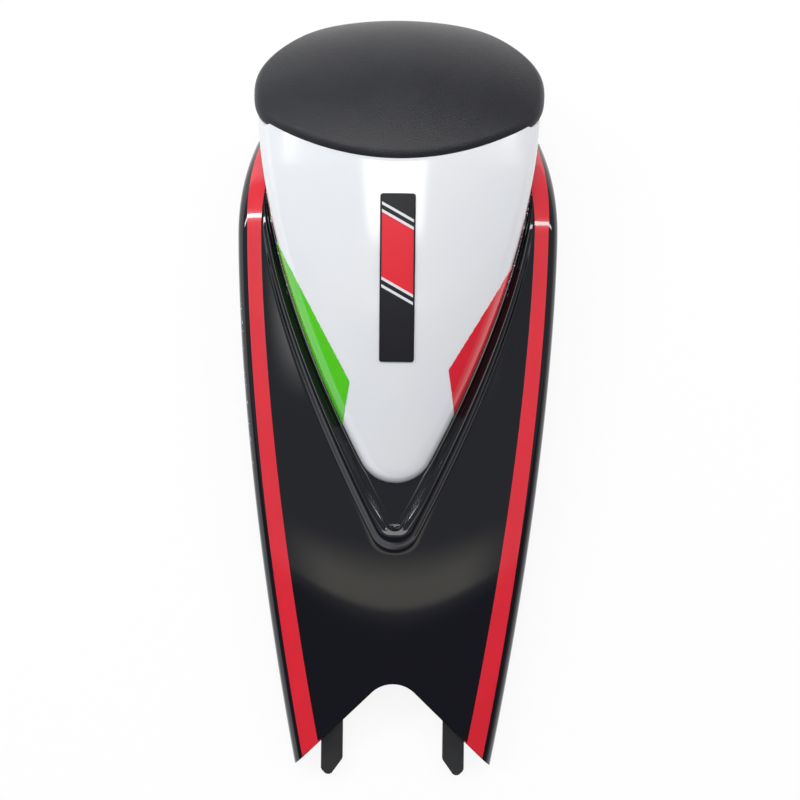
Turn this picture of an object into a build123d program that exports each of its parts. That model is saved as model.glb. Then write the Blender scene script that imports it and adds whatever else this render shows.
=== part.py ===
from build123d import *
import os
from math import cos, radians, sin, sqrt, tan

# Single-seat cowl of a sports motorbike: the hard cover that takes the place of the pillion seat.
# +Y is the front of the bike, +X its right and +Z up. The cowl stands on its lower edge at Z = 0.

# Walls and skins
wall = 3.0
film = 0.3
glue = 0.1
label_thickness = 1.2

# Wings and tail panel: the crest line runs from the tail over the shoulder to the front tip
shoulder_y = 95.0
shoulder_half_width = 90.8
shoulder_z = 50.0
tail_y = -216.0
tail_half_width = 57.2
tail_z = 18.0
tip_y = 152.0
tip_z = 18.0
tip_tuck = 8.0
tip_solid = 12.0
crest_width_power = 1.66
crest_height_power = 1.4
wing_draft = radians(3)
panel_crown = 6.0
crest_radius = 7.0
tail_stations = 9
front_stations = 6

# Hump: a tongue in plan with an elliptical front and a rounded chin
root_z = 46.0
hump_half_width = 80.0
hump_side_y = 170.0
hump_front_y = 218.0
hump_apex_y = -70.2
hump_power = 1.80
chin_radius = 22.0
hump_draft = radians(3)
apex_spread = 2.1
crown_y = 128.0
crown_z = 95.0
crown_fall = 53.5
crown_power = 1.9
crown_front_radius = 150.0
crown_chin_radius = 45.0
crown_margin = 8.0
shoulder_radius = 14.0
face_lean = radians(48)

# Collar: the raised V round the hump, with a groove inside it that opens into a pocket at the apex
collar_height = 4.0
collar_side_y = 105.0
collar_front_y = 124.0
collar_outer_half_width = 76.5
collar_outer_apex_y = -98.0
collar_outer_power = 1.42
collar_outer_radius = 13.0
collar_inner_half_width = 72.5
collar_inner_apex_y = -80.0
collar_inner_power = 1.385
collar_inner_radius = 5.0
collar_edge_radius = 1.0
collar_foot_radius = 2.0

# Tail notch and lower edge
notch_apex_y = -157.5
notch_radius = 17.5
notch_half_angle = radians(45)
edge_lift_y = -20.0
edge_lift = 7.0

# Rear tongues, one each side, carried by two webs under the panel
tongue_inner_x = 29.5
tongue_width = 12.8
tongue_root_y = -168.0
tongue_end_y = -221.9
tongue_tip_width = 3.0
tongue_inner_chamfer = 9.5
tongue_outer_chamfer = 3.0
tongue_z = 9.0
tongue_thickness = 3.0
web_thickness = 2.5

# Ribs under the tail panel
rib_thickness = 2.0
rib_depth = 7.0
rib_first_y = -100.0
rib_pitch = 28.0
rib_count = 2

# Lock: strap on two moulded posts, with a grooved pin in its middle
lock_y = 58.0
post_x = 70.0
post_diameter = 11.0
strap_top_z = 26.0
strap_thickness = 2.0
strap_width = 22.0
strap_end_margin = 8.0
flange_depth = 6.0
flange_gap = 8.0
pin_diameter = 10.0
pin_length = 13.0
pin_neck_diameter = 7.0
pin_groove_length = 4.0
pin_collar_diameter = 15.0
pin_collar_thickness = 2.0
pin_head_diameter = 12.0
pin_head_thickness = 2.0
pin_lead = 2.0
screw_diameter = 3.6
screw_bite = 12.0
screw_head_diameter = 8.0
screw_head_thickness = 2.6
screw_clearance = 0.3
recess_length = 4.4
recess_width = 0.9
recess_depth = 1.3

# Pad on the leaning front face, held by studs and push nuts
pad_overhang = 2.0
pad_thickness = 22.0
pad_fall_side = 26.0
dome_radius_up = 110.0
pad_edge_radius = 4.0
rim_points = 40
stud_diameter = 5.0
stud_clearance = 0.2
stud_spread_x = 90.0
stud_spread_up = 44.0
stud_past_nut = 2.0
nut_diameter = 12.0
nut_thickness = 0.8

# Films and label
stripe_edge = 5.6
stripe_tip_edge = 2.4
stripe_tail_width = 16.6
stripe_front_width = 13.4
flash_width = 15.8
flash_left_span = (91.0, 10.0, -15.0)
flash_right_span = (78.0, 17.0, -9.0)
label_width = 19.0
label_front_y = 111.0
label_rear_y = 21.0
label_corner = 1.5

top_reach = crown_z + 20.0
below = 2.0
side_reach = 1.2 * shoulder_half_width


def taper(y, half_width, full_y, apex_y, power):
    """Half width of a tongue that is full at full_y and closes at apex_y."""
    run = max(0.0, full_y - y) / (full_y - apex_y)
    return half_width * (1 - run**power)


def spread(first, last, count):
    """Evenly spaced values from first to last."""
    return [first + (last - first) * i / (count - 1) for i in range(count)]


def crest_half_width(y):
    if y > shoulder_y:
        return shoulder_half_width - tip_tuck * ((y - shoulder_y) / (tip_y - shoulder_y)) ** 2
    run = (shoulder_y - y) / (shoulder_y - tail_y)
    return shoulder_half_width - (shoulder_half_width - tail_half_width) * run**crest_width_power


def crest_height(y):
    if y > shoulder_y:
        return shoulder_z - (shoulder_z - tip_z) * ((y - shoulder_y) / (tip_y - shoulder_y)) ** 2
    run = (shoulder_y - y) / (shoulder_y - tail_y)
    return shoulder_z - (shoulder_z - tail_z) * run**crest_height_power


def crown_height(y):
    run = max(0.0, crown_y - y) / (crown_y - hump_apex_y)
    return crown_z - crown_fall * run**crown_power


def crown_radius(y):
    run = min(1.0, max(0.0, crown_y - y) / (crown_y - hump_apex_y))
    return crown_front_radius + (crown_chin_radius - crown_front_radius) * run


def hump_root(y):
    return taper(y, hump_half_width, hump_side_y, hump_apex_y, hump_power)


front_plane = Plane(
    origin=(0, crown_y, crown_z),
    x_dir=(1, 0, 0),
    z_dir=(0, cos(face_lean), sin(face_lean)),
)


def panel_body(grow, floor=0.0, front=tip_y, rise=0.0):
    """Solid under the wings and the tail panel, grown outwards by grow."""
    with BuildPart() as body:
        for y in spread(tail_y, shoulder_y, tail_stations) + spread(shoulder_y, front, front_stations)[1:]:
            half = crest_half_width(y) + grow * (1 / cos(wing_draft) - tan(wing_draft))
            top = crest_height(y) + grow + rise
            foot = half + (top - floor) * tan(wing_draft)
            with BuildSketch(Plane.XZ.offset(-y)):
                with BuildLine():
                    ThreePointArc((-half, top), (0, top + panel_crown), (half, top))
                    Polyline((half, top), (foot, floor), (-foot, floor), (-half, top))
                make_face()
        loft()
        long_edges = body.edges().sort_by(SortBy.LENGTH)[-4:]
        fillet(long_edges.sort_by(Axis.Z)[-2:], max(crest_radius + grow, film))
    return body.part


def vee(half_width, apex_y, power, apex_radius, front_y):
    """Plan outline of the collar: a V with a rounded apex and straight front ends."""
    sides = [
        (taper(y, half_width, collar_side_y, apex_y, power), y)
        for y in spread(collar_side_y, apex_y, 7)
    ]
    with BuildSketch() as outline:
        with BuildLine():
            Polyline((0, front_y), (half_width, front_y), sides[0])
            Spline(sides)
            mirror(about=Plane.YZ)
        make_face()
        fillet(outline.vertices().sort_by(Axis.Y)[0], apex_radius)
    return outline.sketch


def outside_collar(place):
    """Whether a place lies on the outer side of the collar's middle line."""
    outer_half = taper(
        place.Y, collar_outer_half_width, collar_side_y, collar_outer_apex_y, collar_outer_power
    )
    inner_half = taper(
        place.Y, collar_inner_half_width, collar_side_y, collar_inner_apex_y, collar_inner_power
    )
    return abs(place.X) > 0.7 * outer_half + 0.3 * inner_half


def hump_outline(z, grow):
    """Plan outline of the hump at height z: elliptical front, tapering sides and a rounded chin."""
    out = grow - (z - root_z) * tan(hump_draft)
    half = hump_half_width + out
    apex = hump_apex_y - out * apex_spread
    sides = [(taper(y, half, hump_side_y, apex, hump_power), y) for y in spread(hump_side_y, apex, 8)]
    with BuildSketch(Plane.XY.offset(z)) as outline:
        with BuildLine():
            EllipticalCenterArc(
                (0, hump_side_y), half, hump_front_y + out - hump_side_y, start_angle=0, arc_size=90
            )
            Spline(sides)
            mirror(about=Plane.YZ)
        make_face()
        fillet(outline.vertices().sort_by(Axis.Y)[0], chin_radius + out)
    return outline.sketch


def hump_body(grow, floor=0.0):
    """Solid under the hump's outer surface, grown outwards by grow."""
    with BuildPart() as body:
        loft([hump_outline(floor, grow), hump_outline(top_reach, grow)], ruled=True)
        for y in spread(hump_apex_y - crown_margin, hump_front_y + crown_margin, 9):
            half = hump_root(max(y, hump_apex_y)) + 2 * crown_margin
            radius = crown_radius(y) + grow
            top = crown_height(y) + grow
            side = top - radius + sqrt(radius**2 - half**2)
            with BuildSketch(Plane.XZ.offset(-y)):
                with BuildLine():
                    ThreePointArc((-half, side), (0, top), (half, side))
                    Polyline((half, side), (half, floor), (-half, floor), (-half, side))
                make_face()
        loft(mode=Mode.INTERSECT)
        crown = body.faces().sort_by(Axis.Z)[-1]
        fillet(crown.edges(), shoulder_radius + grow)
        split(bisect_by=front_plane.offset(grow), keep=Keep.BOTTOM)
    return body.part


def film_on(skin, bed, plan):
    """The layer between two grown bodies that lies over a plan outline, clear of the shell."""
    with BuildPart() as layer:
        extrude(plan, amount=top_reach)
        add(skin, mode=Mode.INTERSECT)
        add(bed, mode=Mode.SUBTRACT)
        add(outer.part, mode=Mode.SUBTRACT)
        extrude(notch.sketch, amount=top_reach, mode=Mode.SUBTRACT)
    return layer.part.solids().sort_by(SortBy.VOLUME)[-1]


def stripe_sketch(side):
    """Plan outline of the stripe along one wing crest."""
    stations = spread(tail_y, tip_y, 7)

    def edge(y):
        run = max(0.0, y - shoulder_y) / (tip_y - shoulder_y)
        return stripe_edge + (stripe_tip_edge - stripe_edge) * run

    def width(y):
        run = max(0.0, shoulder_y - y) / (shoulder_y - tail_y)
        return stripe_front_width + (stripe_tail_width - stripe_front_width) * run

    outside = [(side * (crest_half_width(y) - edge(y)), y) for y in stations]
    inside = [(side * (crest_half_width(y) - width(y)), y) for y in stations]
    with BuildSketch() as outline:
        with BuildLine():
            Spline(outside)
            Spline(inside)
            Line(outside[0], inside[0])
            Line(outside[-1], inside[-1])
        make_face()
    return outline.sketch


def flash_sketch(side, tip_y, corner_y, low_y):
    """Plan outline of the flash on one side of the hump, running out past the hump's root."""
    with BuildSketch() as outline:
        with BuildLine():
            Polyline(
                (side * hump_root(tip_y), tip_y),
                (side * (hump_root(corner_y) - flash_width), corner_y),
                (side * hump_root(low_y), low_y),
                (side * side_reach, low_y),
                (side * side_reach, tip_y),
                close=True,
            )
        make_face()
    return outline.sketch


os.makedirs("parts", exist_ok=True)

# Solids that the shell and its films are cut from
panel = panel_body(0)
hump = hump_body(0)
collar_outer = vee(
    collar_outer_half_width,
    collar_outer_apex_y,
    collar_outer_power,
    collar_outer_radius,
    collar_front_y,
)
collar_inner = vee(
    collar_inner_half_width,
    collar_inner_apex_y,
    collar_inner_power,
    collar_inner_radius,
    collar_front_y + wall,
)

with BuildPart() as collar:
    extrude(collar_outer, amount=top_reach)
    extrude(collar_inner, amount=top_reach, mode=Mode.SUBTRACT)
    add(panel_body(0, rise=collar_height), mode=Mode.INTERSECT)
    fillet(collar.faces().sort_by(Axis.Z)[-1].edges(), collar_edge_radius)

with BuildPart() as outer:
    add(panel)
    add(collar.part)
    foot = [edge for edge in outer.edges(Select.NEW) if outside_collar(edge @ 0.5)]
    fillet(foot, collar_foot_radius)
    add(hump)

notch_reach = notch_apex_y - tail_y + tongue_width
with BuildSketch() as notch:
    with BuildLine():
        Polyline(
            (0, notch_apex_y),
            (notch_reach * tan(notch_half_angle), notch_apex_y - notch_reach),
            (-notch_reach * tan(notch_half_angle), notch_apex_y - notch_reach),
            close=True,
        )
    make_face()
    fillet(notch.vertices().sort_by(Axis.Y)[-1], notch_radius)

# Tongues with their webs
tongue_outer_x = tongue_inner_x + tongue_width
tongue_tip_x = tongue_outer_x - tongue_outer_chamfer - tongue_tip_width
with BuildPart() as tongues:
    with BuildSketch(Plane.XY.offset(tongue_z)):
        with BuildLine():
            Polyline(
                (tongue_inner_x, tongue_root_y),
                (tongue_inner_x, tongue_end_y + tongue_inner_chamfer),
                (tongue_tip_x, tongue_end_y),
                (tongue_tip_x + tongue_tip_width, tongue_end_y),
                (tongue_outer_x, tongue_end_y + tongue_outer_chamfer),
                (tongue_outer_x, tongue_root_y),
                close=True,
            )
        make_face()
        mirror(about=Plane.YZ)
    extrude(amount=tongue_thickness)

with BuildPart() as webs:
    with BuildSketch(Plane.XY.offset(tongue_z)):
        for x in (tongue_inner_x, tongue_outer_x - web_thickness):
            with Locations((x, tongue_root_y)):
                Rectangle(web_thickness, tongue_root_y - tongue_end_y, align=(Align.MIN, Align.MAX))
        mirror(about=Plane.YZ)
    extrude(amount=top_reach)
    add(panel, mode=Mode.INTERSECT)
    extrude(notch.sketch, amount=top_reach, mode=Mode.SUBTRACT)

# Cross ribs under the tail panel
with BuildPart() as ribs:
    for i in range(rib_count):
        with BuildSketch(Plane.XZ.offset(-(rib_first_y - i * rib_pitch))):
            Rectangle(2 * side_reach, top_reach, align=(Align.CENTER, Align.MIN))
        extrude(amount=rib_thickness / 2, both=True)
    add(panel, mode=Mode.INTERSECT)
    add(panel_body(-wall - rib_depth, floor=-below), mode=Mode.SUBTRACT)

# Posts for the lock strap
lock_places = [(-post_x, lock_y), (post_x, lock_y)]
with BuildPart() as posts:
    with BuildSketch(Plane.XY.offset(strap_top_z)):
        with Locations(*lock_places):
            Circle(post_diameter / 2)
    extrude(amount=top_reach)
    add(panel, mode=Mode.INTERSECT)

# Studs of the pad, set out on the front face
pad_seat = hump.faces().filter_by(front_plane)[0]
pad_plane = Plane(origin=pad_seat.center(), x_dir=front_plane.x_dir, z_dir=front_plane.z_dir)
inner_face = pad_plane.offset(-wall)


def pad_rim():
    """Points round the pad, each set out from the rim of its seat by the overhang."""
    rim = pad_seat.outer_wire()
    places = [pad_plane.to_local_coords(rim.position_at(i / rim_points)) for i in range(rim_points)]
    outline = []
    for i, place in enumerate(places):
        along = places[(i + 1) % rim_points] - places[i - 1]
        out = Vector(along.Y, -along.X).normalized()
        if out.dot(place) < 0:
            out = -out
        outline.append(place + out * pad_overhang)
    return outline


with BuildPart() as cowl_shell:
    add(outer.part)
    add(panel_body(-wall, floor=-below, front=tip_y - tip_solid), mode=Mode.SUBTRACT)
    add(hump_body(-wall, floor=-below), mode=Mode.SUBTRACT)
    add(ribs.part)
    add(posts.part)
    extrude(notch.sketch, amount=top_reach, mode=Mode.SUBTRACT)
    add(webs.part)
    add(tongues.part)
    with BuildSketch(Plane.YZ):
        with BuildLine():
            Polyline(
                (edge_lift_y, 0),
                (tail_y, edge_lift),
                (tail_y, -below),
                (edge_lift_y, -below),
                close=True,
            )
        make_face()
    extrude(amount=side_reach, both=True, mode=Mode.SUBTRACT)
    with BuildSketch(Plane.XY.offset(strap_top_z)):
        with Locations(*lock_places):
            Circle(screw_diameter / 2)
    extrude(amount=screw_bite, mode=Mode.SUBTRACT)
    with BuildSketch(inner_face):
        with GridLocations(stud_spread_x, stud_spread_up, 2, 2):
            Circle(stud_diameter / 2 + stud_clearance)
    extrude(amount=wall, mode=Mode.SUBTRACT)

# Pad: the outline of the front face, a little larger, under a barrel-shaped dome
dome_plane = Plane(origin=pad_plane.origin, x_dir=pad_plane.x_dir, z_dir=-pad_plane.y_dir)
dome_edge = pad_thickness - pad_fall_side
dome_axis = pad_thickness - dome_radius_up
with BuildPart() as dome:
    with BuildSketch(dome_plane):
        with BuildLine():
            ThreePointArc((-side_reach, dome_edge), (0, pad_thickness), (side_reach, dome_edge))
            Polyline(
                (side_reach, dome_edge),
                (side_reach, dome_axis),
                (-side_reach, dome_axis),
                (-side_reach, dome_edge),
            )
        make_face()
    revolve(axis=Axis(dome_plane.from_local_coords((0, dome_axis, 0)), dome_plane.x_dir))

with BuildPart() as back_pad:
    with BuildSketch(pad_plane):
        with BuildLine():
            Spline(pad_rim(), periodic=True)
        make_face()
    extrude(amount=pad_thickness)
    add(dome.part, mode=Mode.INTERSECT)
    fillet(back_pad.faces().sort_by(Axis.Z)[-1].edges(), pad_edge_radius)
    with BuildSketch(inner_face.offset(-nut_thickness - stud_past_nut)):
        with GridLocations(stud_spread_x, stud_spread_up, 2, 2):
            Circle(stud_diameter / 2)
    extrude(amount=wall + nut_thickness + stud_past_nut)

with BuildPart() as pad_push_nuts:
    with BuildSketch(inner_face):
        with GridLocations(stud_spread_x, stud_spread_up, 2, 2):
            Circle(nut_diameter / 2)
            Circle(stud_diameter / 2, mode=Mode.SUBTRACT)
    extrude(amount=-nut_thickness)

# Lock strap: a pressed channel with rounded ears
strap_length = 2 * post_x + post_diameter + strap_end_margin
flange_length = 2 * (post_x - post_diameter / 2 - flange_gap)
strap_under_z = strap_top_z - strap_thickness
with BuildPart() as lock_bracket:
    with BuildSketch(Plane.XY.offset(strap_under_z)):
        with Locations((0, lock_y)):
            RectangleRounded(strap_length, strap_width, strap_width / 3)
            Circle(pin_neck_diameter / 2, mode=Mode.SUBTRACT)
        with Locations(*lock_places):
            Circle(screw_diameter / 2 + screw_clearance, mode=Mode.SUBTRACT)
    extrude(amount=strap_thickness)
    with BuildSketch(Plane.XY.offset(strap_under_z)):
        with Locations((0, lock_y)):
            with GridLocations(0, strap_width - strap_thickness, 1, 2):
                Rectangle(flange_length, strap_thickness)
    extrude(amount=-flange_depth)

# Lock pin: riveted through the strap, with a groove for the latch and a tapered lead
pin_head_z = strap_top_z + pin_head_thickness
pin_collar_z = strap_under_z - pin_collar_thickness
pin_groove_z = pin_collar_z - pin_groove_length
pin_end_z = pin_groove_z - pin_length
with BuildPart() as lock_pin:
    with BuildSketch(Plane.XZ.offset(-lock_y)):
        with BuildLine():
            Polyline(
                (0, pin_head_z),
                (pin_head_diameter / 2, pin_head_z),
                (pin_head_diameter / 2, strap_top_z),
                (pin_neck_diameter / 2, strap_top_z),
                (pin_neck_diameter / 2, strap_under_z),
                (pin_collar_diameter / 2, strap_under_z),
                (pin_collar_diameter / 2, pin_collar_z),
                (pin_neck_diameter / 2, pin_collar_z),
                (pin_neck_diameter / 2, pin_groove_z),
                (pin_diameter / 2, pin_groove_z),
                (pin_diameter / 2, pin_end_z + pin_lead),
                (pin_diameter / 2 - pin_lead, pin_end_z),
                (0, pin_end_z),
                close=True,
            )
        make_face()
    revolve(axis=Axis((0, lock_y, 0), (0, 0, 1)))

with BuildPart() as bracket_screws:
    with BuildSketch(Plane.XY.offset(strap_under_z)):
        with Locations(*lock_places):
            Circle(screw_head_diameter / 2)
    extrude(amount=-screw_head_thickness)
    fillet(bracket_screws.faces().group_by(Axis.Z)[0].edges(), screw_head_thickness / 3)
    with BuildSketch(Plane.XY.offset(strap_under_z)):
        with Locations(*lock_places):
            Circle(screw_diameter / 2)
    extrude(amount=strap_thickness + screw_bite)
    with BuildSketch(Plane.XY.offset(strap_under_z - screw_head_thickness)):
        with Locations(*lock_places):
            Rectangle(recess_length, recess_width)
            Rectangle(recess_width, recess_length)
    extrude(amount=recess_depth, mode=Mode.SUBTRACT)

# Films on the wings and the hump, and the raised label on the crown
panel_bed = panel_body(glue)
hump_bed = hump_body(glue)
panel_skin = panel_body(glue + film)
hump_skin = hump_body(glue + film)
label_skin = hump_body(glue + label_thickness)
with BuildSketch() as label_plan:
    with Locations((0, (label_front_y + label_rear_y) / 2)):
        RectangleRounded(label_width, label_front_y - label_rear_y, label_corner)

finished = {
    "cowl_shell": cowl_shell.part,
    "back_pad": back_pad.part,
    "pad_push_nuts": pad_push_nuts.part,
    "lock_bracket": lock_bracket.part,
    "lock_pin": lock_pin.part,
    "bracket_screws": bracket_screws.part,
    "stripe_left": film_on(panel_skin, panel_bed, stripe_sketch(-1)),
    "stripe_right": film_on(panel_skin, panel_bed, stripe_sketch(1)),
    "flash_left": film_on(hump_skin, hump_bed, flash_sketch(-1, *flash_left_span)),
    "flash_right": film_on(hump_skin, hump_bed, flash_sketch(1, *flash_right_span)),
    "centre_label": film_on(label_skin, hump_bed, label_plan.sketch),
}
for name, piece in finished.items():
    piece.label = name
    export_step(piece, f"parts/{name}.step")
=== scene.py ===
import math

import bmesh
import bpy
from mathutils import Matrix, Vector


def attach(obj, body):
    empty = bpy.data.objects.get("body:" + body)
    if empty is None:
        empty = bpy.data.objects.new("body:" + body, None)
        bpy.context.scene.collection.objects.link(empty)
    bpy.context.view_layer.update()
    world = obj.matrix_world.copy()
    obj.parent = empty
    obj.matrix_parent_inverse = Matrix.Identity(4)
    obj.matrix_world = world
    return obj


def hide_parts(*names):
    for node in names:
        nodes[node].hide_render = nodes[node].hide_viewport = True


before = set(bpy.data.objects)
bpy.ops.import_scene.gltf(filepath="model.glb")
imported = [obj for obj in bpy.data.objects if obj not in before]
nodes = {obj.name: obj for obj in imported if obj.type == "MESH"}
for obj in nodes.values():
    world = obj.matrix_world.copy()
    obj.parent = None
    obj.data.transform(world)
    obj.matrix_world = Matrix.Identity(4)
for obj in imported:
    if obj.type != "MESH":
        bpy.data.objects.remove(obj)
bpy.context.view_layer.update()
MM = 0.001
TINY = 1e-6

# Shape of the moulding, in millimetres, as the solids have it
WALL = 3.0
SHOULDER_Y, SHOULDER_HALF, SHOULDER_Z = 95.0, 90.8, 50.0
TAIL_Y, TAIL_HALF, TAIL_Z = -216.0, 57.2, 18.0
TIP_Y, TIP_Z, TIP_TUCK = 152.0, 18.0, 8.0
CREST_WIDTH_POWER, CREST_HEIGHT_POWER = 1.66, 1.4
WING_DRAFT = math.radians(3)
PANEL_CROWN, CREST_RADIUS = 6.0, 7.0
EDGE_LIFT_Y, EDGE_LIFT = -20.0, 7.0
TAIL_SLIDE = 40.0

# Hump, with the share of its leaning face that is painted
ROOT_Z = 46.0
HUMP_HALF, HUMP_SIDE_Y, HUMP_FRONT_Y, HUMP_APEX_Y = 80.0, 170.0, 218.0, -70.2
HUMP_POWER, CHIN_RADIUS, APEX_SPREAD = 1.80, 22.0, 2.1
HUMP_DRAFT = math.radians(3)
CROWN_Y, CROWN_Z, CROWN_FALL, CROWN_POWER = 128.0, 95.0, 53.5, 1.9
CROWN_FRONT_RADIUS, CROWN_CHIN_RADIUS = 150.0, 45.0
SHOULDER_RADIUS = 14.0
CHIN_SPINE = 34.0
FACE_LEAN = math.radians(48)
HUMP_CLEAR, HUMP_SINK, TIP_SINK, FACE_MARGIN = 0.3, 4.0, 0.5, 1.5
SEAT_PAINT = 0.12
SEAT_RINGS = (0.0, SEAT_PAINT, 0.4, 0.7, 1.0)

# Collar round the hump: plan lines, the top's slant, the flank, and the cove beside the pocket
COLLAR_HEIGHT, COLLAR_SIDE_Y = 4.0, 105.0
COLLAR_OUTER = dict(half_width=76.5, full_y=COLLAR_SIDE_Y, apex_y=-98.0, power=1.42)
COLLAR_OUTER_RADIUS = 13.0
COLLAR_INNER = dict(half_width=72.5, full_y=COLLAR_SIDE_Y, apex_y=-80.0, power=1.385)
COLLAR_INNER_RADIUS = 5.0
COLLAR_LIP, COLLAR_SWELL, COLLAR_FLANK_IN, COLLAR_FLANK_OUT = 0.7, 0.35, 3.0, 4.2
COLLAR_COVE, COVE_SHARE = 0.7 * COLLAR_INNER_RADIUS, 0.65
COLLAR_SLANT, COLLAR_LEVEL, COLLAR_GROOVE, GROOVE_DEPTH = 2.2, 24.0, 1.3, 0.8
COLLAR_KNEE_Y, COLLAR_FULL_Y, COLLAR_LOW = 112.0, 45.0, 0.4
COLLAR_START, COLLAR_FADE = 0.6, 2.4
COLLAR_CLEAR_Y, COLLAR_INNER_CLEAR, COLLAR_OUTER_CLEAR = 60.0, 0.25, 0.5

# Tail notch, and the tongues, ribs and posts under the panel
NOTCH_APEX_Y, NOTCH_RADIUS = -157.5, 17.5
TONGUE_INNER_X, TONGUE_OUTER_X, TONGUE_ROOT_Y, TONGUE_END_Y = 29.5, 42.3, -168.0, -221.9
TONGUE_INNER_CHAMFER, TONGUE_OUTER_CHAMFER, TONGUE_TIP = 9.5, 3.0, 3.0
TONGUE_Z, TONGUE_THICKNESS, WEB_THICKNESS = 9.0, 3.0, 2.5
RIB_PLACES, RIB_THICKNESS, RIB_DEPTH = (-100.0, -128.0), 2.0, 7.0
POST_X, POST_Y, POST_RADIUS, POST_FOOT_Z = 70.0, 58.0, 5.5, 26.0
RIB_STEP, RIB_SINK, RIB_FOOT, RIB_SHY = 0.05, 0.6, 1.0, 3.0
FITTING_SINK, WEB_INSET, WEB_BACK, WEB_SINK = 0.8, 0.02, 0.4, 1.0

# Films and the raised strip
STRIPE_EDGE, STRIPE_TIP_EDGE, STRIPE_FRONT, STRIPE_TAIL = 5.6, 2.4, 13.4, 16.6
STRIPE_TIP_GAP, STRIPE_TAIL_GAP, STRIPE_NOTCH_GAP = 0.5, 5.0, 0.6
FLASH_WIDTH, FLASH_TIP_GAP, FLASH_LOW_GAP, FLASH_LIFT = 15.8, 1.0, 0.6, 0.7
FLASH_LEFT, FLASH_RIGHT = (91.0, 10.0, -15.0), (78.0, 17.0, -9.0)
LABEL_HALF, LABEL_REAR, LABEL_FRONT, LABEL_CORNER, LABEL_RISE = 9.5, 21.0, 111.0, 1.5, 1.2
LABEL_RIM, LABEL_ROUND, LABEL_INSET = 0.85, 0.5, 3.0
FILM_GLUE, FILM_RISE, FILM_CLEAR = 0.08, 0.3, 0.4

# Back pad: its middle on the leaning face, its crown, its settling and the tuck of its front shoulders
PAD_Y, PAD_Z = 173.17, 54.33
PAD_RISE, PAD_DOME_UP, PAD_FALL, PAD_FALL_REACH, PAD_EDGE = 22.0, 110.0, 26.0, 108.96, 4.0
PAD_SETTLE, PAD_FLATNESS, PAD_LIFT, PAD_UNDERCUT = 4.5, 0.05, 0.02, 0.5
PAD_TUCK, PAD_TUCK_TURN, PAD_TUCK_REACH = 0.054, -25.0, 33.0
STUD_X, STUD_UP, STUD_RADIUS, STUD_LENGTH, STUD_CHAMFER = 45.0, 22.0, 2.5, 5.8, 0.6

# Mesh columns along a side and round the apex, and the moulding's material slots
SIDE_COLUMNS, APEX_COLUMNS = 150, 44
WING_START_Y = 150.0
HUMP_SLOT, WING_SLOT, RAW_SLOT = 0, 1, 2


def lerp(a, b, t):
    return a + (b - a) * t


def smooth(t):
    t = min(1.0, max(0.0, t))
    return t * t * (3 - 2 * t)


def spaced(first, last, count):
    return [lerp(first, last, i / (count - 1)) for i in range(count)]


def between(a, b, t):
    """A place in plan between two points."""
    return lerp(a[0], b[0], t), lerp(a[1], b[1], t)


def halved(low, high, below, rounds):
    """The two ends of a span, closed in on the place where a test stops holding."""
    for _ in range(rounds):
        middle = (low + high) / 2
        if below(middle):
            low = middle
        else:
            high = middle
    return low, high


def positive(value):
    """A number or a shader value, but nought where it is below nought."""
    return value.maths("MAXIMUM", 0.0) if hasattr(value, "maths") else max(0.0, value)


def taper(y, half_width, full_y, apex_y, power):
    """Half width of a tongue in plan, full at full_y and closed at apex_y."""
    run = positive(full_y - y) / (full_y - apex_y)
    return half_width * (1 - run**power)


def tail_run(y):
    return positive(SHOULDER_Y - y) / (SHOULDER_Y - TAIL_Y)


def tip_run(y):
    return positive(y - SHOULDER_Y) / (TIP_Y - SHOULDER_Y)


def crest_half(y, grow=0.0):
    half = SHOULDER_HALF - (SHOULDER_HALF - TAIL_HALF) * tail_run(y) ** CREST_WIDTH_POWER
    half -= TIP_TUCK * tip_run(y) ** 2
    return half + grow * (1 / math.cos(WING_DRAFT) - math.tan(WING_DRAFT))


def crest_z(y, grow=0.0):
    fall = (SHOULDER_Z - TAIL_Z) * tail_run(y) ** CREST_HEIGHT_POWER
    fall += (SHOULDER_Z - TIP_Z) * tip_run(y) ** 2
    return SHOULDER_Z - fall + grow


def panel_radius(y, grow=0.0):
    half = crest_half(y, grow)
    return (half**2 + PANEL_CROWN**2) / (2 * PANEL_CROWN)


def panel_z(x, y, grow=0.0):
    """Height of the wings and the tail panel."""
    radius = panel_radius(y, grow)
    return crest_z(y, grow) + PANEL_CROWN - radius + (radius**2 - x**2) ** 0.5


def on_panel(place, rise=0.0, grow=0.0):
    """The point of the panel at a place in plan, or one above it."""
    return Vector((place[0], place[1], panel_z(place[0], place[1], grow) + rise))


def lower_edge_z(y):
    return EDGE_LIFT * max(0.0, EDGE_LIFT_Y - y) / (EDGE_LIFT_Y - TAIL_Y)


def crest_turn(y, grow=0.0):
    """Slope of the panel at the crest, the rounding's radius, half of its arc and its tangents' length."""
    dip = math.asin(crest_half(y, grow) / panel_radius(y, grow))
    rounding, half_turn = CREST_RADIUS + grow, (math.pi / 2 - WING_DRAFT - dip) / 2
    return dip, rounding, rounding * half_turn, rounding * math.tan(half_turn)


def crest_arc_half(y, grow=0.0):
    return crest_turn(y, grow)[2]


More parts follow.
